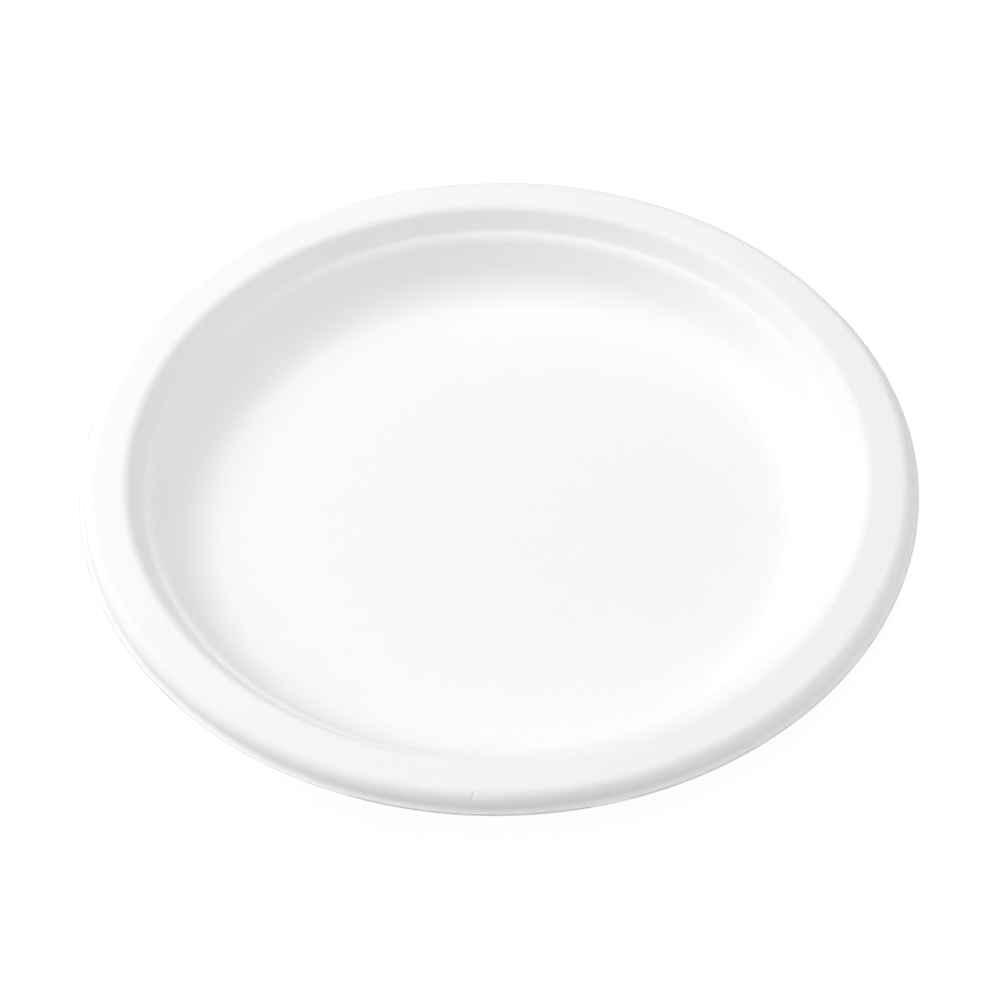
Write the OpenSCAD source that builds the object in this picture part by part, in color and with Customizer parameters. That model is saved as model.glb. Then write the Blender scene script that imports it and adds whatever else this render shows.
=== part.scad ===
// Round plate moulded from plant fibre pulp, in one piece, in millimetres.
// The plate stands on its flat floor at height 0, with its axis on Z.
// Its section is one wall of even thickness, carried along a path of straight
// runs and round bends from the axis out to the trimmed edge. Every bend
// radius is at the middle of the wall, and so is the height of the ledge.

/* [Plate] */
// Diameter over the trimmed outer edge
plate_d = 225; // [150:0.5:320]
// Height from the resting face to the top of the rim
plate_h = 20; // [17.5:0.1:24]
// Thickness of the moulded wall
wall_t = 0.7; // [0.4:0.05:1.6]

/* [Well] */
// Radius of the bend between floor and wall
floor_bend_r = 14.5; // [6:0.5:22]
// Slope of the wall from level, in degrees
wall_slope = 55; // [46:1:66]

/* [Stacking ledge] */
// Height of the ledge above the resting face
ledge_h = 13.7; // [11.5:0.1:15.5]
// Slope of the ledge from level, in degrees
ledge_slope = 25; // [8:1:40]
// Length of the ledge between its bends, measured up its slope
ledge_run = 0.2; // [0.1:0.1:2]
// Radius of the bend from the lower wall out to the ledge
ledge_bend_r = 5; // [1:0.25:6]
// Radius of the bend from the ledge up to the upper wall
ledge_corner_r = 3; // [1:0.25:6]

/* [Rim] */
// Radius of the bend from the wall out to the rim
rim_bend_r = 2.75; // [1.5:0.25:6]
// Length of the straight part of the rim
rim_run = 7; // [0.5:0.1:25]
// Slope of the rim, down to the outside, in degrees
rim_slope = 4; // [0:0.5:12]

/* [Lip] */
// Radius of the bend from the rim down to the lip
lip_bend_r = 3.4; // [1.5:0.1:6]
// Slope of the lip, down to the outside, in degrees
lip_slope = 83; // [60:1:90]
// Length of the straight part of the lip
lip_run = 0.1; // [0.1:0.1:4]
// Radius of the bend from the lip out to the flange
flange_bend_r = 1.8; // [1:0.1:4]
// Slope of the flange, down to the outside, in degrees
flange_slope = 4; // [0:1:15]
// Length of the straight part of the flange
flange_run = 0.1; // [0.1:0.1:4]

/* [Hidden] */
pulp_white = [0.955, 0.955, 0.95];
turn_step = 4;
rim_steps = 240;
start = [0, wall_t / 2];

// The point that lies a distance away along a heading, which is in degrees from level
function ahead(point, heading, distance) = point + distance * [cos(heading), sin(heading)];

// Where a bend ends that starts at a point and turns from one heading to another
function bend_end(point, from, to, radius) =
    point + sign(to - from) * radius * [sin(to) - sin(from), cos(from) - cos(to)];

// The height that the path gains in a bend
function bend_rise(from, to, radius) = bend_end([0, 0], from, to, radius).y;

// The stations of a bend, both ends included. A station is a point with the heading there.
function bend(point, from, to, radius) =
    let (steps = max(1, ceil(abs(to - from) / turn_step)))
    [for (i = [0 : steps])
        let (heading = from + (to - from) * i / steps)
        [bend_end(point, from, heading, radius), heading]];

// The stations of a path of legs. A leg is a straight run, then a bend to a new heading.
function walk(legs, point, heading, i = 0) =
    i == len(legs) ? [] :
    let (
        bend_start = ahead(point, heading, legs[i][0]),
        new_heading = legs[i][1],
        radius = legs[i][2]
    )
    concat(
        bend(bend_start, heading, new_heading, radius),
        walk(legs, bend_end(bend_start, heading, new_heading, radius), new_heading, i + 1)
    );

// The wall runs straight between its bends, and is as long as the heights leave it
half_ledge_rise = ledge_run * sin(ledge_slope) / 2;
lower_rise = ledge_h - half_ledge_rise - bend_rise(wall_slope, ledge_slope, ledge_bend_r)
    - bend_rise(0, wall_slope, floor_bend_r) - start.y;
upper_rise = plate_h - ledge_h - half_ledge_rise - bend_rise(ledge_slope, wall_slope, ledge_corner_r)
    - bend_rise(wall_slope, 0, rim_bend_r) - wall_t / 2;

// The whole path, from the axis to the edge, which is trimmed upright
function path(floor_run) =
    let (
        bends = walk([
            [floor_run, wall_slope, floor_bend_r],
            [lower_rise / sin(wall_slope), ledge_slope, ledge_bend_r],
            [ledge_run, wall_slope, ledge_corner_r],
            [upper_rise / sin(wall_slope), -rim_slope, rim_bend_r],
            [rim_run, -lip_slope, lip_bend_r],
            [lip_run, -flange_slope, flange_bend_r],
        ], start, 0),
        last_bend = bends[len(bends) - 1][0]
    )
    concat([[start, 0]], bends, [[ahead(last_bend, -flange_slope, flange_run), 0]]);

// The flat floor takes up what the wall, the rim and the lip leave of the diameter
function edge_r(stations) = stations[len(stations) - 1][0].x;
stations = path(plate_d / 2 - edge_r(path(0)));

// The half section: the upper face outwards, then the under face back to the axis
module section() {
    upper_face = [for (at = stations) ahead(at[0], at[1] + 90, wall_t / 2)];
    under_face = [for (at = stations) ahead(at[0], at[1] - 90, wall_t / 2)];
    inwards = [len(stations) - 1 : -1 : 0];
    polygon(concat(upper_face, [for (i = inwards) under_face[i]]));
}

module plate() {
    color(pulp_white) rotate_extrude($fn = rim_steps) section();
}

plate();
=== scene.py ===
import math

import bpy
import numpy as np
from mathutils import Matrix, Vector


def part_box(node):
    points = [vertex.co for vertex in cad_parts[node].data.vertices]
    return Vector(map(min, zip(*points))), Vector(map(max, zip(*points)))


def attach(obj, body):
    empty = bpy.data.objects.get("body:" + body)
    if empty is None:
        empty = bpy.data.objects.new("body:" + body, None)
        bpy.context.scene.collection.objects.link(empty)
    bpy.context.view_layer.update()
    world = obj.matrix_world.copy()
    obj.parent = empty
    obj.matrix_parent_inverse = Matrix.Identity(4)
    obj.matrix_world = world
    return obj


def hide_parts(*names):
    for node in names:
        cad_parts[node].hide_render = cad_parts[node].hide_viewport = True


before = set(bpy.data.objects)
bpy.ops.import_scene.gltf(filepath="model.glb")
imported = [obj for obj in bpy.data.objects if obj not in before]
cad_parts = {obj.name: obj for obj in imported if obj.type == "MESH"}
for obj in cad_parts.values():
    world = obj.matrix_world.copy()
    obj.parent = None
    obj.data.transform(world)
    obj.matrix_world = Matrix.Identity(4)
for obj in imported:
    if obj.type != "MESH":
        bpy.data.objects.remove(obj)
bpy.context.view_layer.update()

bl_info = {
    "name": "Moulded fibre plate",
    "version": (1, 0, 0),
    "blender": (4, 5, 0),
    "location": "View3D > Sidebar > Plate",
    "description": "Builds a plate moulded from fibre pulp, its finish, and a plain studio round it",
    "category": "Object",
}

PLATE_LOW, PLATE_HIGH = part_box("plate")
MM = 0.001


# Sizes and colours that a user would change

class PlateSizes(bpy.types.PropertyGroup):
    """Sizes of the plate. Bend radii and the ledge's height are at the middle of the wall."""

    outer_radius: bpy.props.FloatProperty(
        name="Outer radius", description="Radius over the trimmed edge",
        default=PLATE_HIGH.x, subtype="DISTANCE")
    height: bpy.props.FloatProperty(
        name="Height", description="From the resting face to the top of the rim",
        default=PLATE_HIGH.z, subtype="DISTANCE")
    wall: bpy.props.FloatProperty(
        name="Wall", description="Thickness of the moulded wall",
        default=0.7 * MM, subtype="DISTANCE")
    floor_bend: bpy.props.FloatProperty(
        name="Floor bend", description="Radius of the bend from the floor up into the wall",
        default=14.5 * MM, subtype="DISTANCE")
    wall_slope: bpy.props.FloatProperty(
        name="Wall slope", description="Slope of the wall from level",
        default=math.radians(55), subtype="ANGLE")
    ledge_height: bpy.props.FloatProperty(
        name="Ledge height", description="Height of the stacking ledge over the resting face",
        default=13.7 * MM, subtype="DISTANCE")
    ledge_slope: bpy.props.FloatProperty(
        name="Ledge slope", description="Slope of the stacking ledge from level",
        default=math.radians(25), subtype="ANGLE")
    ledge_run: bpy.props.FloatProperty(
        name="Ledge run", description="Length of the ledge between its bends, up its slope",
        default=0.2 * MM, subtype="DISTANCE")
    ledge_bend: bpy.props.FloatProperty(
        name="Ledge bend", description="Radius of the bend from the lower wall out to the ledge",
        default=5 * MM, subtype="DISTANCE")
    ledge_corner: bpy.props.FloatProperty(
        name="Ledge corner", description="Radius of the bend from the ledge up to the upper wall",
        default=3 * MM, subtype="DISTANCE")
    rim_bend: bpy.props.FloatProperty(
        name="Rim bend", description="Radius of the bend from the wall out to the rim",
        default=2.75 * MM, subtype="DISTANCE")
    rim_run: bpy.props.FloatProperty(
        name="Rim run", description="Length of the straight part of the rim",
        default=7.0 * MM, subtype="DISTANCE")
    rim_slope: bpy.props.FloatProperty(
        name="Rim slope", description="Slope of the rim, down to the outside",
        default=math.radians(4), subtype="ANGLE")
    lip_bend: bpy.props.FloatProperty(
        name="Lip bend", description="Radius of the bend from the rim down to the lip",
        default=3.4 * MM, subtype="DISTANCE")
    lip_slope: bpy.props.FloatProperty(
        name="Lip slope", description="Slope of the lip, down to the outside",
        default=math.radians(83), subtype="ANGLE")
    lip_run: bpy.props.FloatProperty(
        name="Lip run", description="Length of the straight part of the lip",
        default=0.1 * MM, subtype="DISTANCE")
    flange_bend: bpy.props.FloatProperty(
        name="Flange bend", description="Radius of the bend from the lip out to the flange",
        default=1.8 * MM, subtype="DISTANCE")
    flange_slope: bpy.props.FloatProperty(
        name="Flange slope", description="Slope of the flange, down to the outside",
        default=math.radians(4), subtype="ANGLE")
    flange_run: bpy.props.FloatProperty(
        name="Flange run", description="Length of the straight part of the flange",
        default=0.1 * MM, subtype="DISTANCE")
    edge_round: bpy.props.FloatProperty(
        name="Edge round", description="Rounding of the two corners of the trimmed edge",
        default=0.19 * MM, subtype="DISTANCE")
    edge_pinch: bpy.props.FloatProperty(
        name="Edge pinch", description="Share of the wall that the trimming knife squeezes away",
        default=0.4, min=0, max=0.8, subtype="FACTOR")
    well_offset: bpy.props.FloatVectorProperty(
        name="Well offset", description="How far the well lies off the middle of the trimmed rim",
        default=(-0.5 * MM, -0.2 * MM), size=2, subtype="TRANSLATION")
    unevenness: bpy.props.FloatProperty(
        name="Unevenness", description="How far the faces wander from their true shape",
        default=0.05 * MM, subtype="DISTANCE")
    crease_depth: bpy.props.FloatProperty(
        name="Crease depth", description="Depth of the small crease in the lip at the front",
        default=0.2 * MM, subtype="DISTANCE")


class PulpFinish(bpy.types.PropertyGroup):
    """Colour and gloss of the pulp."""

    pulp_colour: bpy.props.FloatVectorProperty(
        name="Pulp", description="Colour of the pressed pulp where the fibres lie thick",
        default=(0.94, 0.94, 0.938), subtype="COLOR", size=3, min=0, max=1)
    thin_colour: bpy.props.FloatVectorProperty(
        name="Thin pulp", description="Colour where the fibres lie thinner",
        default=(0.92, 0.92, 0.917), subtype="COLOR", size=3, min=0, max=1)
    fleck_colour: bpy.props.FloatVectorProperty(
        name="Fleck", description="Colour of the few bits of stalk in the pulp",
        default=(0.82, 0.8, 0.77), subtype="COLOR", size=3, min=0, max=1)
    edge_colour: bpy.props.FloatVectorProperty(
        name="Cut edge", description="Colour of the trimmed edge",
        default=(0.935, 0.935, 0.93), subtype="COLOR", size=3, min=0, max=1)
    pressed_roughness: bpy.props.FloatProperty(
        name="Pressed face", description="Roughness of the upper face, pressed on smooth metal",
        default=0.72, min=0, max=1, subtype="FACTOR")
    screen_roughness: bpy.props.FloatProperty(
        name="Screen face", description="Roughness of the under face, formed on a wire screen",
        default=0.85, min=0, max=1, subtype="FACTOR")
    screen_pitch: bpy.props.FloatProperty(
        name="Screen pitch", description="Pitch of the wires that print the under face",
        default=0.9 * MM, subtype="DISTANCE")


class StudioSetup(bpy.types.PropertyGroup):
    """Camera, lamps and floor."""

    camera_elevation: bpy.props.FloatProperty(
        name="Camera elevation", description="Height of the view above the horizon",
        default=math.radians(48.89), subtype="ANGLE")
    camera_roll: bpy.props.FloatProperty(
        name="Camera roll", description="Turn of the view about its own axis",
        default=math.radians(-0.87), subtype="ANGLE")
    camera_distance: bpy.props.FloatProperty(
        name="Camera distance", description="From the middle of the underside to the camera",
        default=1.0556, subtype="DISTANCE")
    lens: bpy.props.FloatProperty(
        name="Lens", description="Focal length on a frame 36 mm wide, in millimetres",
        default=140.1)
    aim: bpy.props.FloatVectorProperty(
        name="Aim", description="The point in the middle of the picture",
        default=(0.0003, 0.00287, 0.0025), subtype="TRANSLATION", size=3)
    floor_size: bpy.props.FloatProperty(
        name="Floor", description="Width of the floor", default=6.0, subtype="DISTANCE")
    ambient: bpy.props.FloatProperty(
        name="Ambient", description="Strength of the even light from all round",
        default=0.0, min=0)


# Shape of the wall

# The finishes of the shell's faces, as the places of their materials
PRESSED, TRIMMED, SCREEN = 0, 1, 2
# How far in from the trimmed edge the wall starts to thin
PINCH_REACH = 1.2 * MM
# Points from the upper to the lower corner of the trimmed edge
EDGE_POINTS = 9
# The waves that make the faces uneven: about their length, their count and their random seed
WAVE_LENGTH = 45 * MM
WAVE_COUNT = 24
WAVE_SEED = 3


def smooth_step(value, low, high):
    """0 below low, 1 above high, and a cubic ease between them."""
    t = np.clip((value - low) / (high - low), 0, 1)
    return t * t * (3 - 2 * t)


def straight(point, heading, length, steps):
    """Stations along a straight run, its first point left out: start plus t along the heading."""
    t = np.linspace(0, length, steps + 1)[1:]
    return np.column_stack([
        point[0] + t * math.cos(heading),
        point[1] + t * math.sin(heading),
        np.full(steps, heading),
    ])


def bend(point, start, end, radius, steps):
    """Stations along a bend, its first point left out. The heading turns evenly from start to
    end, and the point moves by the radius times the change of the heading's sine and cosine."""
    heading = np.linspace(start, end, steps + 1)[1:]
    turn = radius * np.sign(end - start)
    return np.column_stack([
        point[0] + turn * (np.sin(heading) - math.sin(start)),
        point[1] + turn * (math.cos(start) - np.cos(heading)),
        heading,
    ])


def bend_rise(start, end, radius):
    """The height that the path gains in a bend."""
    return math.copysign(radius, end - start) * (math.cos(start) - math.cos(end))


def wall_path(sizes, floor_run):
    """Stations (radius, height, heading) along the middle of the wall, from the axis to the edge:
    a run and a bend in turn for the floor, the wall, the ledge, the upper wall, the rim and the
    lip, and the run of the flange. The two stretches of wall are as long as the heights leave."""
    half_ledge = sizes.ledge_run * math.sin(sizes.ledge_slope) / 2
    lower_rise = (sizes.ledge_height - half_ledge - sizes.wall / 2
                  - bend_rise(sizes.wall_slope, sizes.ledge_slope, sizes.ledge_bend)
                  - bend_rise(0, sizes.wall_slope, sizes.floor_bend))
    upper_rise = (sizes.height - sizes.ledge_height - half_ledge - sizes.wall / 2
                  - bend_rise(sizes.ledge_slope, sizes.wall_slope, sizes.ledge_corner)
                  - bend_rise(sizes.wall_slope, 0, sizes.rim_bend))
    wall_sine = math.sin(sizes.wall_slope)
    # The length of the run, its steps, the heading after the bend, its radius and its steps
    legs = (
        (floor_run, 12, sizes.wall_slope, sizes.floor_bend, 16),
        (lower_rise / wall_sine, 3, sizes.ledge_slope, sizes.ledge_bend, 7),
        (sizes.ledge_run, 1, sizes.wall_slope, sizes.ledge_corner, 7),
        (upper_rise / wall_sine, 2, -sizes.rim_slope, sizes.rim_bend, 12),
        (sizes.rim_run, 5, -sizes.lip_slope, sizes.lip_bend, 18),
        (sizes.lip_run, 1, -sizes.flange_slope, sizes.flange_bend, 9),
    )
    point = np.array([0.0, sizes.wall / 2])
    heading = 0.0
    stretches = [np.array([[*point, heading]])]
    for run, run_steps, new_heading, radius, bend_steps in legs:
        stretches.append(straight(point, heading, run, run_steps))
        stretches.append(bend(stretches[-1][-1, :2], heading, new_heading, radius, bend_steps))
        point, heading = stretches[-1][-1, :2], new_heading
    stretches.append(straight(point, heading, sizes.flange_run, 1))
    stations = np.concatenate(stretches)
    stations[-1, 2] = 0.0
    return stations


def shell_outline(sizes):
    """The closed half section as rows of radius, height, outward heading and the wall's own
    heading: the upper face is the path moved half a wall to its left, the under face, with every
    second station, half a wall to its right, and the trimmed edge joins them round two quarter
    circles. The wall gets thinner just before the edge, where the knife squeezes it, and the
    floor's run makes the radius come out right. Returns the rows and the finish of each."""
    reach = wall_path(sizes, 0.0)[-1, 0]
    stations = wall_path(sizes, sizes.outer_radius - reach)
    radius, height, heading = stations.T
    pinch = smooth_step(radius, sizes.outer_radius - PINCH_REACH, sizes.outer_radius)
    half = sizes.wall / 2 * (1 - sizes.edge_pinch * pinch)
    upper = np.column_stack([radius - half * np.sin(heading), height + half * np.cos(heading),
                             heading + math.pi / 2, heading])
    under = np.column_stack([radius + half * np.sin(heading), height - half * np.cos(heading),
                             heading - math.pi / 2, heading])[::2]
    turn = np.linspace(math.pi / 2, -math.pi / 2, EDGE_POINTS)
    corner = sizes.edge_round
    edge = np.column_stack([
        radius[-1] - corner + corner * np.cos(turn),
        height[-1] + (half[-1] - corner) * np.sign(np.sin(turn)) + corner * np.sin(turn),
        turn,
        np.zeros(EDGE_POINTS),
    ])
    edge[EDGE_POINTS // 2] = (radius[-1], height[-1], 0.0, 0.0)
    faces = (upper[:-1], edge, under[-2::-1])
    finish = np.repeat((PRESSED, TRIMMED, SCREEN), [len(face) for face in faces])
    return np.concatenate(faces), finish


def waves(x, y):
    """Smooth noise of about unit size: the sum of cosines of random heading, phase and length,
    over the root of half their count."""
    random = np.random.default_rng(WAVE_SEED)
    heading = random.uniform(0, 2 * math.pi, WAVE_COUNT)
    phase = random.uniform(0, 2 * math.pi, WAVE_COUNT)
    pitch = 2 * math.pi / (WAVE_LENGTH * random.uniform(0.7, 1.4, WAVE_COUNT))
    total = np.zeros_like(x)
    for k in range(WAVE_COUNT):
        across = x * math.cos(heading[k]) + y * math.sin(heading[k])
        total += np.cos(across * pitch[k] + phase[k])
    return total / math.sqrt(WAVE_COUNT / 2)


def new_mesh_object(name, points, faces):
    """A mesh object from points and faces, smooth shaded."""
    mesh = bpy.data.meshes.new(name)
    mesh.from_pydata(points.tolist(), [], faces)
    mesh.polygons.foreach_set("use_smooth", np.ones(len(mesh.polygons), bool))
    mesh.update()
    piece = bpy.data.objects.new(name, mesh)
    bpy.context.scene.collection.objects.link(piece)
    return piece


def ring_faces(rows, columns):
    """Faces of a closed shell: quads between neighbouring rings of points, and a fan of triangles
    from the first and the last ring to a pole each. The poles are the two points after the rings."""
    row = np.arange(rows - 1)[:, None] * columns
    column = np.arange(columns)[None, :]
    following = (column + 1) % columns
    quads = np.stack([row + column, row + columns + column,
                      row + columns + following, row + following], -1).reshape(-1, 4)
    column, following = column[0], following[0]
    last = (rows - 1) * columns
    pole = rows * columns
    start_fan = np.column_stack([np.full(columns, pole), column, following])
    end_fan = np.column_stack([np.full(columns, pole + 1), last + following, last + column])
    return quads.tolist() + start_fan.tolist() + end_fan.tolist()


# The small mark in the lip

# The azimuth of its first crease, and how far along the rim from there it fades and ends
CREASE_AT = math.radians(-94.1)
MARK_FADE = 6 * MM
MARK_REACH = 10 * MM
# The creases: distance along the rim from the first, share of its depth, half width and bow
CREASES = (
    (0.0, 1.0, 0.26 * MM, 3.0 * MM),
    (4.1 * MM, 0.4, 0.32 * MM, 0.8 * MM),
    (6.2 * MM, 0.15, 0.5 * MM, 0.0),
)
# The turn is how steeply the wall goes down, 0 at the rim. Here are the turn where the creases
# are deepest, how far they reach to its two sides, and the turn at the middle of their bow
CREASE_TURN = 0.7
CREASE_SPAN = 0.45
BOW_TURN = 0.85
# Beside the first crease the bend stands out: how far, as a share of the crease's depth, at what
# turn, how far to its two sides, and between which distances from the crease it comes up
FULLNESS = 1.1
FULL_TURN = 1.0
FULL_SPAN = 0.35
FULL_FROM = 0.2 * MM
FULL_AT = 1.4 * MM
# How far down the mark can reach, in radii of the lip's bend
MARK_DROP = 1.05


def lip_mark(along, turn, depth):
    """The mark as a lift along the normal. Along is the distance round the rim from the first
    crease. Each crease is a bell shaped groove that bows along a parabola of the turn, and beside
    the first one the bend stands out a little, fading along the rim."""
    on_bend = np.exp(-((turn - CREASE_TURN) / CREASE_SPAN) ** 4)
    grooves = np.zeros_like(along * turn)
    for start, share, width, bow in CREASES:
        off = along - start - bow * (turn - BOW_TURN) ** 2
        grooves -= share * np.exp(-(off / width) ** 2)
    beside = smooth_step(along, FULL_FROM, FULL_AT)
    beside = beside * (1 - smooth_step(along, MARK_FADE, MARK_REACH))
    fullness = FULLNESS * beside * np.exp(-((turn - FULL_TURN) / FULL_SPAN) ** 2)
    return depth * (on_bend * grooves + fullness)


# The shell

# Columns of points round the axis, and steps of the running sum that places them
COLUMNS = 640
FINE_STEPS = 20000
# How much closer the columns stand at the front and at the mark, over what angle to each side,
# and the angle from the first crease to the middle of the mark, in radians
FRONT_EXTRA = 0.9
FRONT_SPREAD = 1.1
MARK_EXTRA = 12
MARK_SPREAD = 0.055
MARK_MIDDLE = 0.035


def column_angles():
    """Azimuths of the columns. They are the inverse of a running sum of a density, which is even
    all round but for a wide rise at the front and a narrow, tall one at the mark in the lip."""
    fine = np.linspace(-1.5 * math.pi, 0.5 * math.pi, FINE_STEPS + 1)
    away = fine - CREASE_AT
    at_front = FRONT_EXTRA * np.exp(-(away / FRONT_SPREAD) ** 2)
    at_mark = MARK_EXTRA * np.exp(-((away - MARK_MIDDLE) / MARK_SPREAD) ** 4)
    density = 1 + at_front + at_mark
    running = np.concatenate([[0], np.cumsum((density[1:] + density[:-1]) / 2)])
    share = np.arange(COLUMNS) / COLUMNS
    return np.interp(share * running[-1], running, fine)


def plate_shell(sizes):
    """The plate as one closed shell: the half section carried round the axis. The well then goes
    a little off the middle of the rim, smooth waves and the mark in the lip move the wall along
    its normal, and last the points are fitted to the frame's box, so that none of this changes
    a size. Returns the object and the finish of each of its faces."""
    outline, finish = shell_outline(sizes)
    rings, finish = outline[1:-1], finish[1:-1]
    radius, height, normal, heading = (rings[:, k][:, None] for k in range(4))
    on_rim = np.isclose(heading, -sizes.rim_slope) & (height > sizes.height - sizes.lip_bend)
    well = 1 - smooth_step(radius, radius[on_rim].min(), radius[on_rim].max())
    angle = column_angles()[None, :]
    x, y = radius * np.cos(angle), radius * np.sin(angle)
    lift = sizes.unevenness * waves(x, y)
    on_lip = height > sizes.height - MARK_DROP * sizes.lip_bend
    turn = np.where(on_lip, -heading, math.pi)
    lift = lift + lip_mark((angle - CREASE_AT) * radius, turn, sizes.crease_depth)
    # The wall moves as a whole: the pressed face outwards, the screen face inwards
    out = lift * np.array([1, 0, -1])[finish][:, None]
    points = np.stack([
        (radius + out * np.cos(normal)) * np.cos(angle) + well * sizes.well_offset[0],
        (radius + out * np.cos(normal)) * np.sin(angle) + well * sizes.well_offset[1],
        height + out * np.sin(normal),
    ], -1).reshape(-1, 3)
    middle = sizes.unevenness * waves(np.zeros(1), np.zeros(1))[0]
    poles = np.array([[*sizes.well_offset, outline[0, 1] + middle],
                      [*sizes.well_offset, outline[-1, 1] + middle]])
    points = np.concatenate([points, poles])
    low, high = points.min(0), points.max(0)
    box_low, box_high = np.array(PLATE_LOW), np.array(PLATE_HIGH)
    points = box_low + (points - low) * (box_high - box_low) / (high - low)
    # A strip between two rings has the later ring's finish, but pressed up to the trimmed edge
    strips = np.where(finish[:-1] == PRESSED, PRESSED, finish[1:])
    side = np.concatenate([np.repeat(strips, COLUMNS),
                           np.full(COLUMNS, PRESSED), np.full(COLUMNS, SCREEN)])
    shell = new_mesh_object("plate_shell", points, ring_faces(len(rings), COLUMNS))
    return shell, side.astype(np.int32)


# Finishes of the pulp

# About how many fibres lie side by side in a metre, on each finish
PRESSED_FIBRES = 2300
TRIMMED_FIBRES = 2600
SCREEN_FIBRES = 1600
# How far they stand up from it
PRESSED_RELIEF = 0.014 * MM
TRIMMED_RELIEF = 0.02 * MM
SCREEN_RELIEF = 0.03 * MM
# How many times longer than wide they are
FIBRE_LENGTH = 5.0
# How strong they show on the floor and on the rim, and the radii between which that changes. Their
# stronger colour on the rim is partly the fibres' grain and partly painted shade, the fibres' small
# shadows, which show most on the rim
FLOOR_STRENGTH = 0.8
RIM_STRENGTH = 2.9
FLOOR_END = 82 * MM
RIM_START = 100 * MM
# Flecks: cells in a metre that may hold one, and its radius as a share of its cell
FLECK_CELLS = 160
FLECK_SIZE = 0.045


def node(tree, kind, place=(0, 0), **settings):
    """A new node of a kind, with its settings and its unlinked inputs set by name."""
    made = tree.nodes.new(kind)
    made.location = place
    inputs = settings.pop("inputs", {})
    for key, value in settings.items():
        setattr(made, key, value)
    for key, value in inputs.items():
        made.inputs[key].default_value = value
    return made


def link(tree, source, target):
    """Joins an output socket to an input socket."""
    tree.links.new(source, target)


def grey(value):
    """A neutral colour with full alpha."""
    return (value, value, value, 1)


def pulp_fibres_group():
    """Shader node group for felted pulp. Three layers of long thin noise, 60 degrees apart, lie
    over each other as the fibres, a rounder noise gives the clouds where the pulp lies thicker
    or thinner, and the middles of a few small cells are flecks of stalk."""
    group = bpy.data.node_groups.new("Pulp fibres", "ShaderNodeTree")
    face = group.interface
    inputs = (("Fibre scale", PRESSED_FIBRES), ("Cloud scale", 900.0), ("Fleck share", 0.05))
    for name, value in inputs:
        face.new_socket(name, in_out="INPUT", socket_type="NodeSocketFloat").default_value = value
    for name in ("Fibres", "Clouds", "Flecks"):
        face.new_socket(name, in_out="OUTPUT", socket_type="NodeSocketFloat")
    enter = node(group, "NodeGroupInput", (-1200, 0))
    leave = node(group, "NodeGroupOutput", (800, 0))
    where = node(group, "ShaderNodeTexCoord", (-1200, 300))
    fibres = None
    for k in range(3):
        turn = node(group, "ShaderNodeMapping", (-900, 400 - 260 * k), vector_type="TEXTURE",
                    inputs={"Rotation": (0.35, 0.2, math.radians(60 * k + 12)),
                            "Scale": (FIBRE_LENGTH, 1.0, 1.0),
                            "Location": (0.13 * k, 0.07 * k, 0.0)})
        grain = node(group, "ShaderNodeTexNoise", (-650, 400 - 260 * k), noise_dimensions="3D",
                     inputs={"Detail": 3.0, "Roughness": 0.55, "Distortion": 0.4})
        link(group, where.outputs["Object"], turn.inputs["Vector"])
        link(group, turn.outputs["Vector"], grain.inputs["Vector"])
        link(group, enter.outputs["Fibre scale"], grain.inputs["Scale"])
        if fibres is None:
            fibres = grain.outputs["Fac"]
            continue
        joined = node(group, "ShaderNodeMath", (-400, 300 - 260 * k), operation="SMOOTH_MAX",
                      inputs={2: 0.1})
        link(group, fibres, joined.inputs[0])
        link(group, grain.outputs["Fac"], joined.inputs[1])
        fibres = joined.outputs[0]
    link(group, fibres, leave.inputs["Fibres"])
    clouds = node(group, "ShaderNodeTexNoise", (-400, -450), noise_dimensions="3D",
                  inputs={"Detail": 6.0, "Roughness": 0.7})
    link(group, where.outputs["Object"], clouds.inputs["Vector"])
    link(group, enter.outputs["Cloud scale"], clouds.inputs["Scale"])
    link(group, clouds.outputs["Fac"], leave.inputs["Clouds"])
    cells = node(group, "ShaderNodeTexVoronoi", (-400, -750), feature="F1",
                 inputs={"Scale": FLECK_CELLS, "Randomness": 1.0})
    size = node(group, "ShaderNodeMath", (-150, -700), operation="LESS_THAN",
                inputs={1: FLECK_SIZE})
    rare = node(group, "ShaderNodeMath", (-150, -860), operation="LESS_THAN")
    fleck = node(group, "ShaderNodeMath", (60, -760), operation="MULTIPLY")
    link(group, where.outputs["Object"], cells.inputs["Vector"])
    link(group, cells.outputs["Distance"], size.inputs[0])
    link(group, cells.outputs["Color"], rare.inputs[0])
    link(group, enter.outputs["Fleck share"], rare.inputs[1])
    link(group, size.outputs[0], fleck.inputs[0])
    link(group, rare.outputs[0], fleck.inputs[1])
    link(group, fleck.outputs[0], leave.inputs["Flecks"])
    return group


def fibre_strength(tree, where):
    """Socket with how strong the fibres show, in their relief and in the colour. It rises evenly
    with the distance from the axis between the floor and the rim; the stronger colour on the rim is
    partly the fibres' grain and partly painted shade of the fibres."""
    flat = node(tree, "ShaderNodeVectorMath", (-920, -250), operation="MULTIPLY",
                inputs={1: (1.0, 1.0, 0.0)})
    radius = node(tree, "ShaderNodeVectorMath", (-740, -250), operation="LENGTH")
    strength = node(tree, "ShaderNodeMapRange", (-560, -250),
                    inputs={"From Min": FLOOR_END, "From Max": RIM_START,
                            "To Min": FLOOR_STRENGTH, "To Max": RIM_STRENGTH})
    link(tree, where.outputs["Object"], flat.inputs[0])
    link(tree, flat.outputs[0], radius.inputs[0])
    link(tree, radius.outputs["Value"], strength.inputs["Value"])
    return strength.outputs["Result"]


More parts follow.
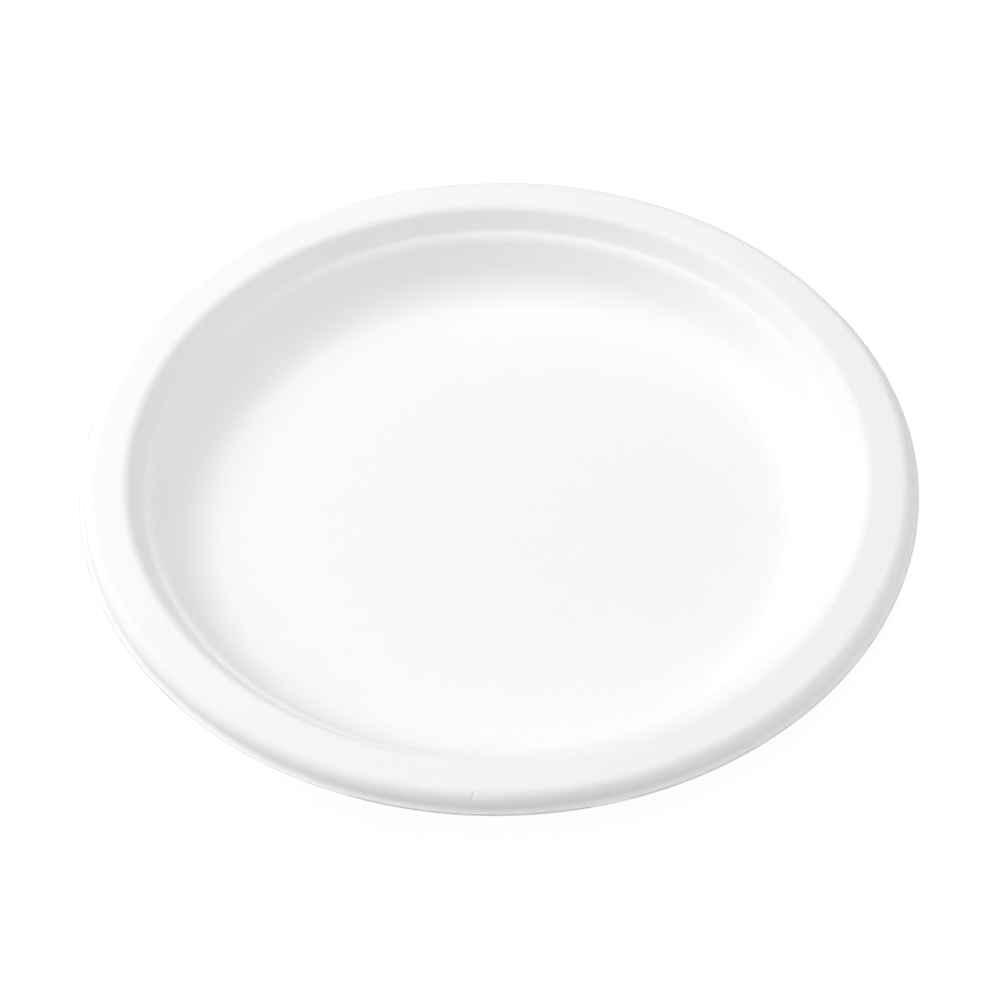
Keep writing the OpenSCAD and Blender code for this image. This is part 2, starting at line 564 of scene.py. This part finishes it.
def pulp_colour(tree, pulp, strength, finish, thin_colour):
    """Socket with the colour of the pulp. It goes from the thin to the thick colour with the clouds
    plus the strength of the fibres times their height over the mean, and the flecks lie over it. The
    fibres' part, strongest on the rim, is partly grain and partly painted shade of the fibres."""
    # Painted fibre shade as well as grain: the fibres' height over the mean, times their strength,
    # moves the colour between thin and thick, most on the rim
    above = node(tree, "ShaderNodeMath", (-420, 60), operation="SUBTRACT", inputs={1: 0.6})
    coarse = node(tree, "ShaderNodeMath", (-260, 60), operation="MULTIPLY")
    mottle_and_fibre_shade = node(tree, "ShaderNodeMath", (-260, 240), operation="ADD")
    spread = node(tree, "ShaderNodeMapRange", (-120, 240),
                  inputs={"From Min": 0.3, "From Max": 0.7, "To Min": 0.0, "To Max": 1.0})
    tint = node(tree, "ShaderNodeMix", (60, 240), data_type="RGBA")
    tint.inputs["A"].default_value = (*thin_colour, 1)
    tint.inputs["B"].default_value = (*finish.pulp_colour, 1)
    flecked = node(tree, "ShaderNodeMix", (240, 240), data_type="RGBA")
    flecked.inputs["B"].default_value = (*finish.fleck_colour, 1)
    link(tree, pulp.outputs["Fibres"], above.inputs[0])
    link(tree, above.outputs[0], coarse.inputs[0])
    link(tree, strength, coarse.inputs[1])
    link(tree, coarse.outputs[0], mottle_and_fibre_shade.inputs[0])
    link(tree, pulp.outputs["Clouds"], mottle_and_fibre_shade.inputs[1])
    link(tree, mottle_and_fibre_shade.outputs[0], spread.inputs["Value"])
    link(tree, spread.outputs["Result"], tint.inputs["Factor"])
    link(tree, tint.outputs["Result"], flecked.inputs["A"])
    link(tree, pulp.outputs["Flecks"], flecked.inputs["Factor"])
    return flecked.outputs["Result"]


def pressed_height(tree, pulp, strength):
    """Socket with the height of a pressed face: that of the fibres times their strength."""
    height = node(tree, "ShaderNodeMath", (0, -250), operation="MULTIPLY")
    link(tree, strength, height.inputs[0])
    link(tree, pulp.outputs["Fibres"], height.inputs[1])
    return height.outputs[0]


def screen_height(tree, pulp, where, pitch):
    """Socket with the height of the screen face, which has the print of a woven wire screen: two
    sets of bands at right angles on the object's X and Y, and the lesser of the two times 1.2 is
    added to the height of the fibres."""
    weave = node(tree, "ShaderNodeMath", (-350, -500), operation="MINIMUM")
    for k, direction in enumerate(("X", "Y")):
        band = node(tree, "ShaderNodeTexWave", (-600, -450 - 260 * k), wave_type="BANDS",
                    bands_direction=direction,
                    inputs={"Scale": math.pi / (10 * pitch), "Distortion": 0.4, "Detail": 1.0})
        link(tree, where.outputs["Object"], band.inputs["Vector"])
        link(tree, band.outputs["Fac"], weave.inputs[k])
    height = node(tree, "ShaderNodeMath", (0, -450), operation="MULTIPLY_ADD", inputs={1: 1.2})
    link(tree, weave.outputs[0], height.inputs[0])
    link(tree, pulp.outputs["Fibres"], height.inputs[2])
    return height.outputs[0]


def pulp_material(name, group, finish, roughness, thin_colour, fibres, relief, pitch=None):
    """Matt pulp: the colour and the gloss vary a little with its clouds, and its fibres stand up
    from the surface by the relief, in metres. With a pitch it also has a screen's print."""
    material = bpy.data.materials.new(name)
    material.use_nodes = True
    tree = material.node_tree
    tree.nodes.clear()
    out = node(tree, "ShaderNodeOutputMaterial", (900, 0))
    shader = node(tree, "ShaderNodeBsdfPrincipled", (600, 0),
                  inputs={"IOR": 1.45, "Specular IOR Level": 0.35})
    pulp = node(tree, "ShaderNodeGroup", (-600, 0), node_tree=group,
                inputs={"Fibre scale": fibres})
    where = node(tree, "ShaderNodeTexCoord", (-1100, -250))
    strength = fibre_strength(tree, where)
    colour = pulp_colour(tree, pulp, strength, finish, thin_colour)
    if pitch is None:
        height = pressed_height(tree, pulp, strength)
    else:
        height = screen_height(tree, pulp, where, pitch)
    gloss = node(tree, "ShaderNodeMapRange", (240, 0),
                 inputs={"From Min": 0.3, "From Max": 0.7,
                         "To Min": roughness - 0.05, "To Max": roughness + 0.05})
    lift = node(tree, "ShaderNodeBump", (300, -250), inputs={"Strength": 1.0, "Distance": relief})
    link(tree, pulp.outputs["Clouds"], gloss.inputs["Value"])
    link(tree, height, lift.inputs["Height"])
    link(tree, colour, shader.inputs["Base Color"])
    link(tree, gloss.outputs["Result"], shader.inputs["Roughness"])
    link(tree, lift.outputs["Normal"], shader.inputs["Normal"])
    link(tree, shader.outputs["BSDF"], out.inputs["Surface"])
    return material


class PLATE_OT_shell(bpy.types.Operator):
    """Builds the moulded plate and gives its faces and its edge their finishes"""

    bl_idname = "plate.build_shell"
    bl_label = "Build the plate"

    def execute(self, context):
        finish = context.scene.pulp_finish
        shell, side = plate_shell(context.scene.plate_sizes)
        group = pulp_fibres_group()
        materials = {
            PRESSED: pulp_material("pressed_pulp", group, finish, finish.pressed_roughness,
                                   finish.thin_colour, PRESSED_FIBRES, PRESSED_RELIEF),
            TRIMMED: pulp_material("trimmed_pulp", group, finish, finish.screen_roughness,
                                   finish.edge_colour, TRIMMED_FIBRES, TRIMMED_RELIEF),
            SCREEN: pulp_material("screen_pulp", group, finish, finish.screen_roughness,
                                  finish.thin_colour, SCREEN_FIBRES, SCREEN_RELIEF,
                                  finish.screen_pitch),
        }
        for place in sorted(materials):
            shell.data.materials.append(materials[place])
        shell.data.polygons.foreach_set("material_index", side)
        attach(shell, "root")
        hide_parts("plate")
        return {"FINISHED"}


# Studio

# The floor's paint, which lights the plate from below. In its place the camera sees a glow and a
# darker paint, whose light comes to about white, so that the plate's shadow still shows
FLOOR_PAINT = 0.94
FLOOR_GLOW = 0.935
GLOWING_PAINT = 0.12
# How far the camera sees
CAMERA_REACH = 50
# From the middle of the floor to each lamp
LAMP_DISTANCE = 1.6
# Name, azimuth and elevation in degrees, width in metres and power in watts
LAMPS = (
    ("key_lamp", 140, 35, 0.6, 5.9),
    ("key_back_lamp", 120, 44, 0.6, 2.7),
    ("key_left_lamp", 160, 42, 0.5, 4.7),
    ("left_low_lamp", 180, 20, 0.6, 2.2),
    ("left_lamp", 200, 32, 0.6, 2.4),
    ("front_left_lamp", 240, 43, 0.9, 2.9),
    ("front_low_lamp", 270, 18, 0.9, 1.4),
    ("front_top_lamp", 270, 78, 1.2, 5.0),
    ("right_low_lamp", 0, 18, 0.9, 6.4),
    ("right_high_lamp", 0, 70, 0.9, 4.6),
    ("top_lamp", 90, 80, 1.2, 3.4),
)


def studio_floor(width):
    """A large plain square at height 0 that the camera sees as white, with the plate's shadow."""
    half = width / 2
    corners = np.array([[-half, -half, 0], [half, -half, 0], [half, half, 0], [-half, half, 0]])
    floor = new_mesh_object("studio_floor", corners, [[0, 1, 2, 3]])
    material = bpy.data.materials.new("studio_white")
    material.use_nodes = True
    tree = material.node_tree
    tree.nodes.clear()
    out = node(tree, "ShaderNodeOutputMaterial", (900, 0))
    seen = node(tree, "ShaderNodeLightPath", (-400, 200))
    direct = node(tree, "ShaderNodeMath", (-150, 250), operation="MAXIMUM")
    shown = node(tree, "ShaderNodeMath", (50, 200), operation="MAXIMUM")
    paint = node(tree, "ShaderNodeBsdfDiffuse", (250, -100), inputs={"Color": grey(FLOOR_PAINT)})
    lit = node(tree, "ShaderNodeBsdfDiffuse", (250, 100), inputs={"Color": grey(GLOWING_PAINT)})
    glow = node(tree, "ShaderNodeEmission", (250, 250),
                inputs={"Color": grey(1), "Strength": FLOOR_GLOW})
    white = node(tree, "ShaderNodeAddShader", (450, 150))
    mix = node(tree, "ShaderNodeMixShader", (650, 0))
    link(tree, seen.outputs["Is Camera Ray"], direct.inputs[0])
    link(tree, seen.outputs["Is Glossy Ray"], direct.inputs[1])
    link(tree, direct.outputs[0], shown.inputs[0])
    link(tree, seen.outputs["Is Transmission Ray"], shown.inputs[1])
    link(tree, lit.outputs[0], white.inputs[0])
    link(tree, glow.outputs[0], white.inputs[1])
    link(tree, shown.outputs[0], mix.inputs[0])
    link(tree, paint.outputs[0], mix.inputs[1])
    link(tree, white.outputs[0], mix.inputs[2])
    link(tree, mix.outputs[0], out.inputs["Surface"])
    floor.data.materials.append(material)


def studio_world(ambient):
    """An even dome that is white where the camera sees it, and lights from all round with the
    ambient strength."""
    world = bpy.data.worlds.new("studio")
    bpy.context.scene.world = world
    world.use_nodes = True
    tree = world.node_tree
    tree.nodes.clear()
    out = node(tree, "ShaderNodeOutputWorld", (600, 0))
    light = node(tree, "ShaderNodeBackground", (200, 100),
                 inputs={"Color": grey(1), "Strength": ambient})
    white = node(tree, "ShaderNodeBackground", (200, -100),
                 inputs={"Color": grey(1), "Strength": 1.0})
    seen = node(tree, "ShaderNodeLightPath", (0, 300))
    mix = node(tree, "ShaderNodeMixShader", (400, 0))
    link(tree, seen.outputs["Is Camera Ray"], mix.inputs[0])
    link(tree, light.outputs[0], mix.inputs[1])
    link(tree, white.outputs[0], mix.inputs[2])
    link(tree, mix.outputs[0], out.inputs["Surface"])


def soft_lamp(name, azimuth, elevation, width, power):
    """A square area lamp that faces the plate from an azimuth, 0 at the right and 90 behind."""
    a, e = math.radians(azimuth), math.radians(elevation)
    away = Vector((math.cos(a) * math.cos(e), math.sin(a) * math.cos(e), math.sin(e)))
    data = bpy.data.lights.new(name, "AREA")
    data.shape = "SQUARE"
    data.size = width
    data.energy = power
    lamp = bpy.data.objects.new(name, data)
    lamp.location = away * LAMP_DISTANCE
    lamp.rotation_euler = (-away).to_track_quat("-Z", "Y").to_euler()
    bpy.context.scene.collection.objects.link(lamp)


def studio_camera(studio):
    """The camera at the photograph's angle: in front of the plate and above it, slightly rolled."""
    data = bpy.data.cameras.new("camera")
    data.lens = studio.lens
    data.clip_end = CAMERA_REACH
    camera = bpy.data.objects.new("camera", data)
    e = studio.camera_elevation
    camera.location = Vector((0, -math.cos(e), math.sin(e))) * studio.camera_distance
    look = Vector(studio.aim) - camera.location
    camera.rotation_euler = look.to_track_quat("-Z", "Y").to_euler()
    camera.rotation_euler.rotate_axis("Z", studio.camera_roll)
    bpy.context.scene.collection.objects.link(camera)
    bpy.context.scene.camera = camera


class PLATE_OT_studio(bpy.types.Operator):
    """Builds the floor, the lamps and the camera"""

    bl_idname = "plate.build_studio"
    bl_label = "Build the studio"

    def execute(self, context):
        studio = context.scene.studio_setup
        studio_floor(studio.floor_size)
        studio_world(studio.ambient)
        for lamp in LAMPS:
            soft_lamp(*lamp)
        studio_camera(studio)
        context.scene.view_settings.view_transform = "Standard"
        return {"FINISHED"}


class PLATE_PT_panel(bpy.types.Panel):
    """Lists the builders of the plate and of its studio"""

    bl_idname = "PLATE_PT_panel"
    bl_label = "Moulded plate"
    bl_space_type = "VIEW_3D"
    bl_region_type = "UI"
    bl_category = "Plate"

    def draw(self, context):
        scene = context.scene
        for title, group in (("Sizes", scene.plate_sizes), ("Finish", scene.pulp_finish),
                             ("Studio", scene.studio_setup)):
            box = self.layout.box()
            box.label(text=title)
            for name in group.bl_rna.properties.keys():
                if name not in ("rna_type", "name"):
                    box.prop(group, name)
        self.layout.operator("plate.build_shell")
        self.layout.operator("plate.build_studio")


CLASSES = (PlateSizes, PulpFinish, StudioSetup, PLATE_OT_shell, PLATE_OT_studio, PLATE_PT_panel)


def register():
    for part in CLASSES:
        bpy.utils.register_class(part)
    bpy.types.Scene.plate_sizes = bpy.props.PointerProperty(type=PlateSizes)
    bpy.types.Scene.pulp_finish = bpy.props.PointerProperty(type=PulpFinish)
    bpy.types.Scene.studio_setup = bpy.props.PointerProperty(type=StudioSetup)


def unregister():
    del bpy.types.Scene.studio_setup
    del bpy.types.Scene.pulp_finish
    del bpy.types.Scene.plate_sizes
    for part in reversed(CLASSES):
        bpy.utils.unregister_class(part)


def main():
    register()
    bpy.ops.plate.build_shell()
    bpy.ops.plate.build_studio()


if __name__ == "__main__":
    main()
